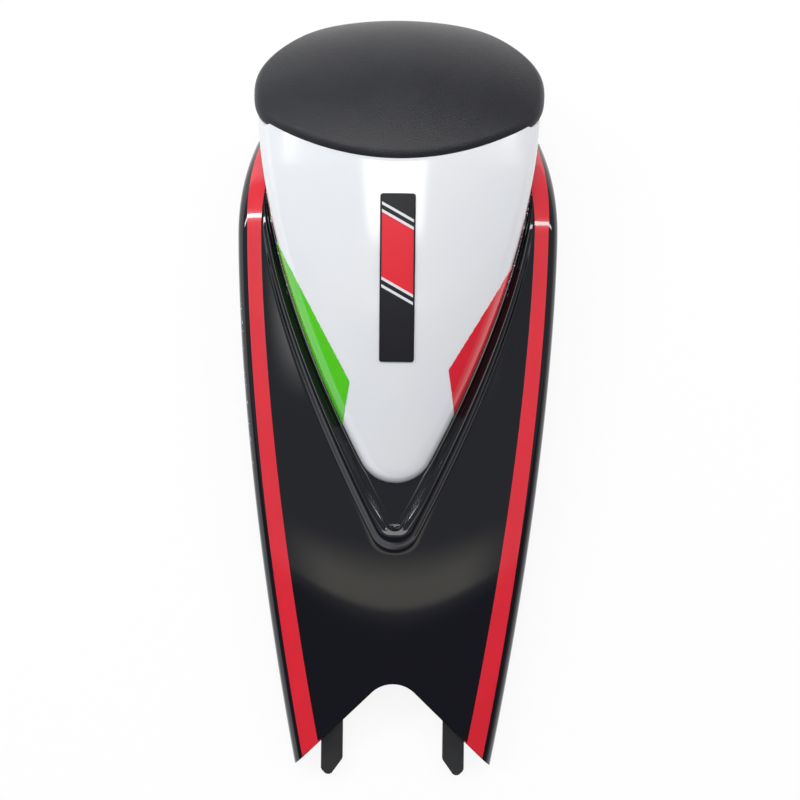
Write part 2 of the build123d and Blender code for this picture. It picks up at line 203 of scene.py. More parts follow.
def section_point(y, along, grow=0.0):
    """A point on the cross-section at y. along is the length from the middle of the crest's rounding,
    inwards over the panel if positive and down the side wall if negative."""
    half, top = crest_half(y, grow), crest_z(y, grow)
    radius = panel_radius(y, grow)
    dip, rounding, arc_half, tangent = crest_turn(y, grow)
    if along > arc_half:
        swing = dip - (along - arc_half + tangent) / radius
        return Vector((radius * math.sin(swing), y, top + PANEL_CROWN - radius + radius * math.cos(swing)))
    if along < -arc_half:
        down = -along - arc_half + tangent
        return Vector((half + down * math.sin(WING_DRAFT), y, top - down * math.cos(WING_DRAFT)))
    start = Vector((half - tangent * math.cos(dip), 0, top + tangent * math.sin(dip)))
    centre = start - rounding * Vector((math.sin(dip), 0, math.cos(dip)))
    swing = dip + (arc_half - along) / rounding
    return Vector((centre.x + rounding * math.sin(swing), y, centre.z + rounding * math.cos(swing)))


def section_z(x, y):
    """Height of the outside at a place on the panel or on the crest's rounding."""
    dip, rounding, _, tangent = crest_turn(y)
    start_x = crest_half(y) - tangent * math.cos(dip)
    if x < start_x:
        return panel_z(x, y)
    centre_x = start_x - rounding * math.sin(dip)
    centre_z = crest_z(y) + tangent * math.sin(dip) - rounding * math.cos(dip)
    return centre_z + math.sqrt(max(0.0, rounding**2 - (x - centre_x) ** 2))


def wall_length(y, grow=0.0):
    """Length of the side wall below the crest's rounding, down to the lower edge."""
    return (crest_z(y, grow) - lower_edge_z(y)) / math.cos(WING_DRAFT) - crest_turn(y, grow)[3]


# Where the crest meets the notch's slanted cut
tail_corner_y = TAIL_Y
for _ in range(40):
    tail_corner_y = NOTCH_APEX_Y - crest_half(tail_corner_y)


def border_point(y, along, grow=0.0):
    """A section point that slides along the cowl onto the notch's slanted cut as y nears the tail."""
    slide = smooth((tail_corner_y + TAIL_SLIDE - y) / TAIL_SLIDE)
    place = y
    for _ in range(5):
        point = section_point(place, along, grow)
        place = y + slide * (NOTCH_APEX_Y - point.x - tail_corner_y)
    return section_point(place, along, grow)


def hump_plan(out):
    """The numbers of the hump's plan outline, set out by a distance."""
    apex_y = HUMP_APEX_Y - out * APEX_SPREAD
    return dict(half_width=HUMP_HALF + out, full_y=HUMP_SIDE_Y, apex_y=apex_y, power=HUMP_POWER)


def hump_half(y, out=0.0):
    return taper(y, **hump_plan(out))


def hump_side(y, z, grow=0.0):
    """Where the hump's wall stands at y and height z."""
    return hump_half(y, grow) - (z - ROOT_Z) * math.tan(HUMP_DRAFT)


def crest_start(y, grow=0.0):
    """Length along the section at which the crest begins, outside the hump where the wing runs into it."""
    arc = crest_arc_half(y, grow)

    def clear(along):
        point = section_point(y, along, grow)
        return point.x - hump_side(y, point.z, grow) > HUMP_CLEAR

    return arc if clear(arc) else halved(-arc, arc, clear, 30)[0]


def rounded_vee(vee, radius):
    """Half of a V in plan as points, from the wing's start along the side and round to its apex."""
    side = [(taper(y, **vee), y) for y in spaced(WING_START_Y, vee["apex_y"], 900)]

    def nearest(centre_y):
        return min((math.hypot(x, y - centre_y), x, y) for x, y in side)

    def too_near(centre_y):
        return nearest(centre_y)[0] < radius

    _, middle = halved(vee["apex_y"], vee["apex_y"] + 8 * radius, too_near, 40)
    _, touch_x, touch_y = nearest(middle)
    points = [(taper(y, **vee), y) for y in spaced(WING_START_Y, touch_y, SIDE_COLUMNS)]
    start = math.atan2(touch_y - middle, touch_x)
    for angle in spaced(start, -math.pi / 2, APEX_COLUMNS + 1)[1:]:
        points.append((radius * math.cos(angle), middle + radius * math.sin(angle)))
    points[-1] = (0.0, points[-1][1])
    return points


def nearest_on(points, place):
    """The nearest place on a run of plan points."""
    best = None
    for (ax, ay), (bx, by) in zip(points, points[1:]):
        dx, dy = bx - ax, by - ay
        length = dx * dx + dy * dy
        t = ((place[0] - ax) * dx + (place[1] - ay) * dy) / length if length else 0.0
        t = min(1.0, max(0.0, t))
        x, y = ax + t * dx, ay + t * dy
        gap = math.hypot(place[0] - x, place[1] - y)
        if best is None or gap < best[0]:
            best = (gap, x, y)
    return best[1], best[2]


def inward_normals(points):
    """Unit plan normals of a half outline that ends on the middle line, towards its inside."""
    normals = []
    for i in range(len(points)):
        ax, ay = points[max(0, i - 1)]
        bx, by = points[min(len(points) - 1, i + 1)]
        if i == len(points) - 1:
            bx, by = -ax, ay
        run = Vector((bx - ax, by - ay)).normalized()
        normals.append(Vector((run.y, -run.x)))
    return normals


def crown_z(x, y, grow=0.0):
    """Height of the hump's crown."""
    run = max(0.0, CROWN_Y - y) / (CROWN_Y - HUMP_APEX_Y)
    radius = lerp(CROWN_FRONT_RADIUS, CROWN_CHIN_RADIUS, min(1.0, run)) + grow
    top = CROWN_Z - CROWN_FALL * run**CROWN_POWER + grow
    return top - radius + math.sqrt(max(0.0, radius**2 - x**2))


def face_height(point, grow=0.0):
    """Distance of a point in front of the leaning front face."""
    return (point.y - CROWN_Y) * math.cos(FACE_LEAN) + (point.z - CROWN_Z) * math.sin(FACE_LEAN) - grow


def hump_column(root, inward, foot_z, spine_y, grow=0.0, wall_rows=14, round_rows=14, crown_rows=40):
    """One line up the hump: the wall from foot_z, the rounded shoulder, and the crown to its middle line."""
    root = Vector(root)
    slope = math.tan(HUMP_DRAFT)
    radius = SHOULDER_RADIUS + grow

    def wall_plan(z):
        return root + inward * ((z - ROOT_Z) * slope)

    def crown_at(distance, z):
        place = wall_plan(z) + inward * distance
        return crown_z(place.x, place.y, grow)

    edge_z = 70.0
    for _ in range(12):
        edge_z = crown_at(0.0, edge_z)
    reach = 6.0
    rise = math.atan2(crown_at(reach, edge_z) - edge_z, reach)
    turn = math.pi / 2 - HUMP_DRAFT - rise
    tangent = min(radius * math.tan(turn / 2), max(0.5, 0.8 * (edge_z - foot_z)))
    round_radius = tangent / math.tan(turn / 2)
    wall_end = edge_z - tangent * math.cos(HUMP_DRAFT)
    points = []
    for z in spaced(foot_z, wall_end, wall_rows):
        place = wall_plan(z)
        points.append(Vector((place.x, place.y, z)))
    centre_in = tangent * -math.sin(HUMP_DRAFT) + round_radius * math.cos(HUMP_DRAFT)
    centre_z = wall_end - round_radius * math.sin(HUMP_DRAFT)
    edge_plan = wall_plan(edge_z)
    for i in range(1, round_rows + 1):
        angle = math.pi - HUMP_DRAFT - turn * i / round_rows
        inside = centre_in + round_radius * math.cos(angle)
        place = edge_plan + inward * inside
        points.append(Vector((place.x, place.y, centre_z + round_radius * math.sin(angle))))
    end = points[-1]
    lift = end.z - crown_z(end.x, end.y, grow)
    for i in range(1, crown_rows + 1):
        left = 1 - i / crown_rows
        x, y = end.x * left, spine_y + (end.y - spine_y) * left**2
        points.append(Vector((x, y, crown_z(x, y, grow) + lift * left**6)))
    return points


def spine_at(root_y, apex_y):
    """Where a line that starts at root_y reaches the middle of the crown."""
    share = (WING_START_Y - root_y) / (WING_START_Y - apex_y)
    return lerp(CROWN_Y, apex_y + CHIN_SPINE, share)


def cut_at_face(points, grow=0.0):
    """The part of a line that lies behind the leaning front face, ending on it."""
    kept = []
    for point in points:
        if face_height(point, grow) > 0:
            if kept:
                a, b = face_height(kept[-1], grow), face_height(point, grow)
                kept.append(kept[-1].lerp(point, -a / (b - a)))
            break
        kept.append(point)
    return kept


def resampled(points, count):
    """The same line with evenly spaced points."""
    lengths = [0.0]
    for a, b in zip(points, points[1:]):
        lengths.append(lengths[-1] + (b - a).length)
    line, j = [], 0
    for target in spaced(0.0, lengths[-1], count):
        while j < len(points) - 2 and lengths[j + 1] < target:
            j += 1
        span = lengths[j + 1] - lengths[j]
        line.append(points[j].lerp(points[j + 1], 0.0 if span == 0 else (target - lengths[j]) / span))
    return line


class Skin:
    """Collects grids of points and blocks into one mesh."""

    def __init__(self):
        self.bm = bmesh.new()

    def grid(self, columns, material=0, flip=False):
        """Four-sided faces between neighbouring lines of points."""
        rows = [[self.bm.verts.new(point * MM) for point in column] for column in columns]
        for a, b in zip(rows, rows[1:]):
            for i in range(len(a) - 1):
                corners = [a[i], b[i], b[i + 1], a[i + 1]]
                face = self.bm.faces.new(corners[::-1] if flip else corners)
                face.material_index = material
                face.smooth = True

    def block(self, outline, low, high, material=0, bevel=0.4):
        """A prism over a plan outline. low and high give the heights of its two ends at a place."""
        block = bmesh.new()
        foot = [block.verts.new(Vector((x, y, low(x, y))) * MM) for x, y in outline]
        head = [block.verts.new(Vector((x, y, high(x, y))) * MM) for x, y in outline]
        block.faces.new(foot[::-1])
        block.faces.new(head)
        for i in range(len(outline)):
            j = (i + 1) % len(outline)
            block.faces.new([foot[i], foot[j], head[j], head[i]])
        bmesh.ops.recalc_face_normals(block, faces=block.faces[:])
        if bevel:
            bmesh.ops.bevel(block, geom=block.edges[:], offset=bevel * MM, segments=2, affect="EDGES")
        for face in block.faces:
            face.material_index = material
        mesh = bpy.data.meshes.new("block")
        block.to_mesh(mesh)
        block.free()
        self.bm.from_mesh(mesh)
        bpy.data.meshes.remove(mesh)

    def layer(self, base, rises):
        """A thin closed layer on a grid of surface points, set out by a rise for each point."""
        top = []
        for i, column in enumerate(base):
            line = []
            for j, point in enumerate(column):
                along = base[min(i + 1, len(base) - 1)][j] - base[max(i - 1, 0)][j]
                across = column[min(j + 1, len(column) - 1)] - column[max(j - 1, 0)]
                out = along.cross(across).normalized()
                line.append(point + (out if out.z > 0 else -out) * rises(i, j))
            top.append(line)
        self.grid(top)
        self.grid(base, flip=True)
        self.grid([top[0], base[0]])
        self.grid([top[-1], base[-1]], flip=True)
        self.grid([[a[0], b[0]] for a, b in zip(top, base)])
        self.grid([[a[-1], b[-1]] for a, b in zip(top, base)], flip=True)

    def finish(self, name, materials, mirrored=False, outward=False, sharp=40.0, weld=0.004):
        """The collected faces as one object, welded and with smooth shading up to the sharp angle."""
        if mirrored:
            half = self.bm.faces[:] + self.bm.edges[:] + self.bm.verts[:]
            copy = bmesh.ops.duplicate(self.bm, geom=half)["geom"]
            for vert in [item for item in copy if isinstance(item, bmesh.types.BMVert)]:
                vert.co.x = -vert.co.x
            turned = [item for item in copy if isinstance(item, bmesh.types.BMFace)]
            bmesh.ops.reverse_faces(self.bm, faces=turned)
        bmesh.ops.remove_doubles(self.bm, verts=self.bm.verts[:], dist=weld * MM)
        bmesh.ops.dissolve_degenerate(self.bm, dist=weld * MM, edges=self.bm.edges[:])
        if outward:
            bmesh.ops.recalc_face_normals(self.bm, faces=self.bm.faces[:])
        mesh = bpy.data.meshes.new(name)
        self.bm.to_mesh(mesh)
        self.bm.free()
        for material in materials:
            mesh.materials.append(material)
        mesh.set_sharp_from_angle(angle=math.radians(sharp))
        piece = bpy.data.objects.new(name, mesh)
        bpy.context.scene.collection.objects.link(piece)
        return piece


class Value:
    """A socket of a material's node tree, for shader maths written as plain expressions."""

    def __init__(self, finish, socket):
        self.finish = finish
        self.socket = socket

    def maths(self, operation, *others):
        sockets = {0: self, **dict(enumerate(others, 1))}
        return self.finish.node("ShaderNodeMath", dict(operation=operation), sockets)

    def __add__(self, other):
        return self.maths("ADD", other)

    def __sub__(self, other):
        return self.maths("SUBTRACT", other)

    def __rsub__(self, other):
        return self.finish.node("ShaderNodeMath", dict(operation="SUBTRACT"), {0: other, 1: self})

    def __mul__(self, other):
        return self.maths("MULTIPLY", other)

    def __truediv__(self, other):
        return self.maths("DIVIDE", other)

    def __pow__(self, other):
        return self.maths("POWER", other)

    def __gt__(self, other):
        return self.maths("GREATER_THAN", other)

    def __lt__(self, other):
        return self.maths("LESS_THAN", other)

    def __abs__(self):
        return self.maths("ABSOLUTE")

    __radd__ = __add__
    __rmul__ = __mul__

    def ramp(self, low, high):
        """0 below low, 1 above high and smooth between."""
        sockets = {"Value": self, "From Min": low, "From Max": high}
        return self.finish.node("ShaderNodeMapRange", dict(interpolation_type="SMOOTHSTEP"), sockets)


def largest(values):
    """The largest of some values at each place."""
    total = values[0]
    for value in values[1:]:
        total = total.maths("MAXIMUM", value)
    return total


class Shading:
    """A node tree and helpers that add nodes to it."""

    def __init__(self, tree):
        self.tree = tree

    def node(self, kind, settings=None, sockets=None, output=0):
        made = self.tree.nodes.new(kind)
        for name, value in (settings or {}).items():
            setattr(made, name, value)
        for key, value in (sockets or {}).items():
            self.link(value, made.inputs[key])
        return Value(self, made.outputs[output])

    def link(self, value, socket):
        if isinstance(value, Value):
            self.tree.links.new(value.socket, socket)
        else:
            socket.default_value = value

    def blend(self, factor, first, second):
        """A colour between two colours."""
        sockets = {0: factor, 6: first, 7: second}
        return self.node("ShaderNodeMix", dict(data_type="RGBA"), sockets, output=2)

    def rays(self, *kinds):
        """1 for the kinds of ray that are named."""
        path = self.tree.nodes.new("ShaderNodeLightPath")
        return largest([Value(self, path.outputs[kind]) for kind in kinds])


class Finish(Shading):
    """A material with a principled shader."""

    def __init__(self, name, **constants):
        self.material = bpy.data.materials.new(name)
        self.material.use_nodes = True
        super().__init__(self.material.node_tree)
        self.shader = self.tree.nodes["Principled BSDF"]
        for socket, value in constants.items():
            self.shader.inputs[socket.replace("_", " ")].default_value = value

    def feed(self, socket, value):
        self.link(value, self.shader.inputs[socket])

    def place(self):
        return self.node("ShaderNodeTexCoord", output="Object")

    def axes(self):
        """The place on the cowl as three values, in millimetres."""
        split = self.node("ShaderNodeSeparateXYZ", None, {0: self.place()})
        return [Value(self, output) * 1000.0 for output in split.socket.node.outputs]

    def noise(self, scale, detail=2.0, roughness=0.5):
        sockets = {"Vector": self.place(), "Scale": scale, "Detail": detail, "Roughness": roughness}
        return self.node("ShaderNodeTexNoise", None, sockets)

    def cells(self, scale):
        return self.node("ShaderNodeTexVoronoi", None, {"Vector": self.place(), "Scale": scale})

    def mottle(self, scale, first, second):
        """A colour that drifts between two colours over the surface."""
        return self.blend(self.noise(scale, 3.0).ramp(0.3, 0.7), first, second)

    def bump(self, height, strength, distance):
        sockets = {"Height": height, "Strength": strength, "Distance": distance}
        self.feed("Normal", self.node("ShaderNodeBump", None, sockets))


# Colours of the finishes, with the second tone that some drift to
BLACK = (0.007, 0.007, 0.009, 1)
WHITE = (0.80, 0.805, 0.81, 1)
RED = (0.72, 0.021, 0.036, 1)
GREEN = (0.095, 0.58, 0.014, 1)
WHITE_SHADE = (0.775, 0.785, 0.795, 1)
RED_SHADE = (0.67, 0.019, 0.033, 1)
GREEN_SHADE = (0.087, 0.545, 0.013, 1)
SPECK, DUST, CHIP = (0.10, 0.10, 0.11, 1), (0.16, 0.16, 0.18, 1), (0.62, 0.63, 0.65, 1)
PLASTIC, PAD, ZINC = (0.012, 0.012, 0.013, 1), (0.02, 0.02, 0.023, 1), (0.55, 0.55, 0.57, 1)
PLASTIC_TONES = (0.010, 0.010, 0.011, 1), (0.016, 0.016, 0.017, 1)
PAD_TONES = (0.010, 0.010, 0.0135, 1), (0.0135, 0.0135, 0.0175, 1)
ZINC_TONES = (0.48, 0.48, 0.50, 1), (0.60, 0.60, 0.61, 1)
LABEL_FIELD, LABEL_EDGE = (0.012, 0.012, 0.015, 1), (0.010, 0.010, 0.012, 1)
PAD_DUST, LABEL_PALE = (0.10, 0.11, 0.12, 1), (0.72, 0.72, 0.73, 1)

# Print on the strip, the paint's masked edge, and where the chips lie, in millimetres
LABEL_SLANT, LABEL_FIELDS, LABEL_LINE, LABEL_PITCH, LABEL_BORDER = 0.55, (40.0, 76.0), 0.8, 4.0, 0.9
MASK_HEIGHT, MASK_EDGE = 0.9, 0.08
EDGE_CHIP_REAR, EDGE_CHIP_FRONT, EDGE_CHIP_WIDTH, EDGE_CHIP_DROP = (-44.0, -30.0), (56.0, 66.0), 1.1, 3.6
MASK_CHIP_REAR, MASK_CHIP_FRONT, MASK_CHIP_WIDTH = (58.0, 66.0), (128.0, 134.0), 0.9


def specks(finish, spacing, radius):
    """1 on small round specks, one to each cell, in millimetres."""
    return finish.cells(1000.0 / spacing) < radius / spacing


def glossy(name, colour, specular):
    """A paint or film under clear lacquer with a faint ripple in it."""
    lacquer = dict(Coat_Weight=1.0, Coat_Roughness=0.03)
    finish = Finish(name, Base_Color=colour, Roughness=0.14, Specular_IOR_Level=specular, **lacquer)
    finish.bump(finish.noise(220.0, 1.0), 0.05, 0.0004)
    return finish


def paint_hump():
    """White over the hump, masked off just above the wings, with a ragged edge and a few specks."""
    paint = glossy("hump_white_paint", WHITE, 0.5)
    x, y, z = paint.axes()
    ragged = (paint.noise(1300.0, 3.0) - 0.5) * 0.5
    masked = (z - panel_z(x, y) + ragged).ramp(MASK_HEIGHT - MASK_EDGE, MASK_HEIGHT + MASK_EDGE)
    masked = masked.maths("MAXIMUM", y.ramp(WING_START_Y, WING_START_Y + 1.0))
    tint = paint.blend(paint.noise(14.0, 2.0).ramp(0.35, 0.65), WHITE, WHITE_SHADE)
    speckled = paint.blend(specks(paint, 34.0, 0.42), tint, SPECK)
    paint.feed("Base Color", paint.blend(masked, BLACK, speckled))
    paint.feed("Roughness", 0.12 + paint.noise(60.0, 2.0) * 0.05)
    return paint


def paint_wings():
    """Black, chipped pale along the left edge and beside the hump, with a little dust."""
    paint = glossy("wing_black_paint", BLACK, 0.1)
    x, y, z = paint.axes()
    along_left = (x < 0.0) * y.ramp(*EDGE_CHIP_REAR) * (1 - y.ramp(*EDGE_CHIP_FRONT))
    on_edge = (crest_half(y) - abs(x) < EDGE_CHIP_WIDTH) * (panel_z(x, y) - z < EDGE_CHIP_DROP)
    edge_chips = (paint.noise(520.0, 4.0, 0.65) > 0.62) * on_edge * along_left
    by_hump = abs(x) - hump_half(y) < MASK_CHIP_WIDTH
    by_hump = by_hump * y.ramp(*MASK_CHIP_REAR) * (1 - y.ramp(*MASK_CHIP_FRONT))
    mask_chips = (paint.noise(700.0, 4.0, 0.65) > 0.60) * by_hump
    chipped = largest([edge_chips, mask_chips])
    dusty = paint.blend(specks(paint, 21.0, 0.16), BLACK, DUST)
    paint.feed("Base Color", paint.blend(chipped, dusty, CHIP))
    paint.feed("Roughness", 0.06 + paint.noise(50.0, 3.0) * 0.05 + chipped * 0.4)
    return paint


def film(name, colour, shade):
    """A glossy film with a slightly uneven dye."""
    skin = glossy(name, colour, 0.35)
    skin.feed("Base Color", skin.mottle(30.0, colour, shade))
    skin.feed("Roughness", 0.15 + skin.noise(180.0, 2.0) * 0.08)
    return skin


def mould_plastic():
    """Bare black plastic with a fine spark-eroded texture."""
    plastic = Finish("raw_black_plastic", Base_Color=PLASTIC, Roughness=0.5, Specular_IOR_Level=0.3)
    plastic.feed("Base Color", plastic.mottle(70.0, *PLASTIC_TONES))
    plastic.feed("Roughness", 0.42 + plastic.noise(900.0, 3.0) * 0.2)
    plastic.bump(plastic.noise(1800.0, 3.0), 0.25, 0.0003)
    return plastic


def grain_pad():
    """Satin black skin with a fine pebble grain and a little dust."""
    skin = Finish("pad_grained_skin", Base_Color=PAD, Roughness=0.45, Specular_IOR_Level=0.38)
    mottled = skin.mottle(40.0, *PAD_TONES)
    skin.feed("Base Color", skin.blend(specks(skin, 15.0, 0.14), mottled, PAD_DUST))
    skin.feed("Roughness", 0.30 + skin.noise(1500.0, 3.0) * 0.10)
    skin.bump(skin.cells(1400.0) + skin.noise(2100.0, 3.0) * 0.8, 0.34, 0.0005)
    return skin


def plate_steel():
    """Bright zinc plate with a faint cloudy spangle."""
    plate = Finish("zinc_plate", Base_Color=ZINC, Metallic=1.0, Roughness=0.35)
    cloud = plate.noise(260.0, 4.0).ramp(0.3, 0.7)
    plate.feed("Base Color", plate.blend(cloud, *ZINC_TONES))
    plate.feed("Roughness", 0.28 + cloud * 0.14)
    plate.bump(plate.noise(1200.0, 2.0), 0.06, 0.0002)
    return plate


def print_label():
    """Slanted fields of black, red and black with pale lines between them."""
    face = Finish("label_face", Base_Color=BLACK, Roughness=0.45, Specular_IOR_Level=0.25)
    x, y, _ = face.axes()
    slanted = y - LABEL_REAR + x * LABEL_SLANT
    low, high = LABEL_FIELDS
    red = (slanted > low) * (slanted < high)
    edges = (low, high, low - LABEL_PITCH, high + LABEL_PITCH)
    pale = largest([abs(slanted - edge) < LABEL_LINE for edge in edges])
    from_middle = abs(y - (LABEL_REAR + LABEL_FRONT) / 2)
    half_length = (LABEL_FRONT - LABEL_REAR) / 2
    inside = (abs(x) < LABEL_HALF - LABEL_BORDER) * (from_middle < half_length - LABEL_BORDER)
    fields = face.blend(red, LABEL_FIELD, RED)
    printed = face.blend(pale, fields, LABEL_PALE)
    face.feed("Base Color", face.blend(inside, LABEL_EDGE, printed))
    face.feed("Roughness", 0.40 + face.noise(300.0, 2.0) * 0.12)
    return face


hump_paint, wing_paint = paint_hump(), paint_wings()
red_film = film("red_film", RED, RED_SHADE)
green_film = film("green_film", GREEN, GREEN_SHADE)
raw_plastic, pad_skin, zinc, label_face = mould_plastic(), grain_pad(), plate_steel(), print_label()


def eased(points, passes=12):
    """Plan points drawn towards the middle of their neighbours, with the ends kept."""
    for _ in range(passes):
        near = zip(points, points[1:], points[2:])
        inner = [tuple((p + 2 * q + r) / 4 for p, q, r in zip(a, b, c)) for a, b, c in near]
        points = [points[0]] + inner + [points[-1]]
    return points


def collar_lines():
    """Plan lines of the hump's root and the collar's inner and outer edge, for one side."""
    root_line = rounded_vee(hump_plan(0.0), CHIN_RADIUS)

    def clear_of_root(line, gap):
        return [(max(x, hump_half(y) + gap) if y > COLLAR_CLEAR_Y else x, y) for x, y in line]

    inner_line = clear_of_root(rounded_vee(COLLAR_INNER, COLLAR_INNER_RADIUS), COLLAR_INNER_CLEAR)
    outer_line = clear_of_root(rounded_vee(COLLAR_OUTER, COLLAR_OUTER_RADIUS), COLLAR_OUTER_CLEAR)
    columns = []
    for outer in outer_line:
        inner = nearest_on(inner_line, outer)
        root = nearest_on(root_line, inner)
        reach = math.dist(root, outer)
        groove = min(COLLAR_GROOVE, 0.45 * reach)
        if math.dist(root, inner) < groove:
            inner = between(root, outer, groove / reach)
        columns.append((root, inner, outer))
    columns[-1] = tuple((0.0, y) for _, y in columns[-1])
    root_line, inner_line, outer_line = [list(line) for line in zip(*columns)]
    return list(zip(eased(root_line), eased(inner_line), outer_line))


def notch_edge():
    """The tail notch in plan for one side, from the corner at the crest to the middle."""
    corner_x = border_point(tail_corner_y, crest_arc_half(tail_corner_y)).x
    touch_x = NOTCH_RADIUS * math.sin(math.pi / 4)
    arc_y = NOTCH_APEX_Y - NOTCH_RADIUS / math.sin(math.pi / 4)
    edge = []
    for x in spaced(corner_x, 0.0, 400):
        y = NOTCH_APEX_Y - x if x > touch_x else arc_y + math.sqrt(NOTCH_RADIUS**2 - x**2)
        edge.append(Vector((x, y, 0.0)))
    return resampled(edge, APEX_COLUMNS + 1)[1:]


def panel_border(grow):
    """Outer border of the panel for one side: the crest back to the tail's corner, then the notch."""
    places = spaced(TIP_Y, tail_corner_y, SIDE_COLUMNS)
    crest = [border_point(y, crest_start(y, grow) + TINY, grow) for y in places]
    return crest + [on_panel(edge, grow=grow) for edge in notch_edge()]


def collar_profile(root, inner, outer):
    """Places over the groove and the collar, each a start, an end, a distance between them and a rise.
    The collar's top slants down from its ridge to a thin lip beside the groove, level at the apex, and its
    flank falls to the panel in a soft slope, returned as distances past the outer edge and rises."""
    gap = math.dist(root, inner)
    across = max(math.dist(inner, outer), TINY)
    share = smooth((math.dist(root, outer) - COLLAR_START) / COLLAR_FADE)
    grown = smooth((COLLAR_KNEE_Y - outer[1]) / (COLLAR_KNEE_Y - COLLAR_FULL_Y))
    ridge = share * lerp(COLLAR_LOW, COLLAR_HEIGHT, grown)
    lip = ridge - share * COLLAR_SLANT * smooth(outer[0] / COLLAR_LEVEL)
    floor = min(0.0, lip - GROOVE_DEPTH * share)
    lip_radius, flank = min(COLLAR_LIP, 0.2 * across), min(COLLAR_FLANK_IN, 0.4 * across)
    profile = []
    bend = min(COLLAR_COVE, 0.8 * gap)
    base = tuple(i + (i - o) * bend / across for i, o in zip(inner, outer))
    for t in (0.0, 0.25, 0.5, 0.75):
        profile.append((root, base, math.dist(root, base) * t, floor))
    for t in spaced(0.0, 1.0, 14):
        cove = t**2 * min(0.4 * gap, COVE_SHARE * (lip - floor))
        profile.append((base, inner, bend * t, floor + cove))
    foot = profile[-1][3]
    for t in (0.35, 0.7):
        profile.append((inner, outer, 0.25 * lip_radius * t, lerp(foot, lip - lip_radius, t)))
    for turn in spaced(0.0, math.pi / 2, 6):
        distance = lip_radius * (0.25 + 1 - math.cos(turn))
        profile.append((inner, outer, distance, lip - lip_radius * (1 - math.sin(turn))))
    first, last = 1.25 * lip_radius, across - flank
    for t in spaced(0.0, 1.0, 12)[1:-1]:
        swell = COLLAR_SWELL * share * 4 * t * (1 - t)
        profile.append((inner, outer, lerp(first, last, t), lerp(lip, ridge, t) + swell))
    width = flank + COLLAR_FLANK_OUT
    for run in spaced(0.0, flank, 9):
        profile.append((inner, outer, last + run, ridge * (1 - smooth(run / width))))
    runs = spaced(0.0, COLLAR_FLANK_OUT, 12)[1:]
    return profile, [(run, ridge * (1 - smooth((flank + run) / width))) for run in runs]


def outer_panel_lines():
    """Lines over the outside of the panel from the hump's root over the collar to the border."""
    lines = []
    for (root, inner, outer), last in zip(collar_lines(), panel_border(0.0)):
        profile, beyond = collar_profile(root, inner, outer)
        points = []
        for a, b, distance, rise in profile:
            length = math.dist(a, b)
            t = distance / length if length > TINY else 0.0
            points.append(on_panel(between(a, b, t), rise))
        reach = max(math.hypot(last.x - outer[0], last.y - outer[1]), TINY)
        foot = min(1.0, 0.4 * reach / COLLAR_FLANK_OUT) / reach
        places = [(foot * run, rise) for run, rise in beyond]
        places += [(t, 0.0) for t in spaced(foot * COLLAR_FLANK_OUT, 1.0, 40)[1:]]
        points += [on_panel(between(outer, last, t), rise) for t, rise in places]
        points[-1] = last
        lines.append(points)
    return lines


def inner_panel_lines():
    """Lines over the inside of the panel from the hump's root to the border."""
    lines = []
    for root, last in zip(rounded_vee(hump_plan(-WALL), CHIN_RADIUS - WALL), panel_border(-WALL)):
        places = [between(root, last, t) for t in spaced(0.0, 1.0, 24)[:-1]]
        lines.append([on_panel(place, grow=-WALL) for place in places] + [last])
    return lines


def wall_lines(grow):
    """Lines from the panel's border over the crest and down the side wall."""
    lines = []
    for y in spaced(TIP_Y, tail_corner_y, SIDE_COLUMNS):
        arc = crest_arc_half(y, grow)
        length = wall_length(y, grow)
        turns = spaced(crest_start(y, grow) + TINY, -arc, 13)
        falls = [-arc - length * t for t in spaced(0.0, 1.0, 14)[1:]]
        lines.append([border_point(y, along, grow) for along in turns + falls])
    return lines


def hump_lines(grow, sink):
    """Lines up the hump from the panel, for one side."""
    roots = rounded_vee(hump_plan(grow), CHIN_RADIUS + grow)
    apex_y = roots[-1][1]
    lines = []
    for root, inward in zip(roots, inward_normals(roots)):
        foot_z = panel_z(root[0], root[1], grow) - sink
        lines.append(hump_column(root, inward, foot_z, spine_at(root[1], apex_y), grow))
    return lines


def front_lines(grow, count=60):
    """Lines up the hump's front, from the lower edge to the leaning face."""
    half = HUMP_HALF + grow
    outline = [(hump_half(y, grow), y) for y in spaced(WING_START_Y, HUMP_SIDE_Y, 12)]
    for angle in spaced(0.0, math.pi / 2, count)[1:]:
        depth = HUMP_FRONT_Y + grow - HUMP_SIDE_Y
        outline.append((half * math.cos(angle), HUMP_SIDE_Y + depth * math.sin(angle)))
    outline[-1] = (0.0, outline[-1][1])
    lines = []
    for place, turned in zip(outline, inward_normals(outline)):
        column = hump_column(place, -turned, 0.0, CROWN_Y, grow, wall_rows=60)
        lines.append(resampled(cut_at_face(column, grow), 40))
    return lines


def seat_lines(front, first_hump_line, grow):
    """The leaning face behind the pad, as lines from its rim to its middle."""
    top = [point for point in first_hump_line if face_height(point, grow) > -FACE_MARGIN]
    rim = [line[-1] for line in front[::-1]] + top
    middle = Vector((0.0, (rim[0].y + rim[-1].y) / 2, (rim[0].z + rim[-1].z) / 2))
    return [[point.lerp(middle, t) for t in SEAT_RINGS] for point in rim]


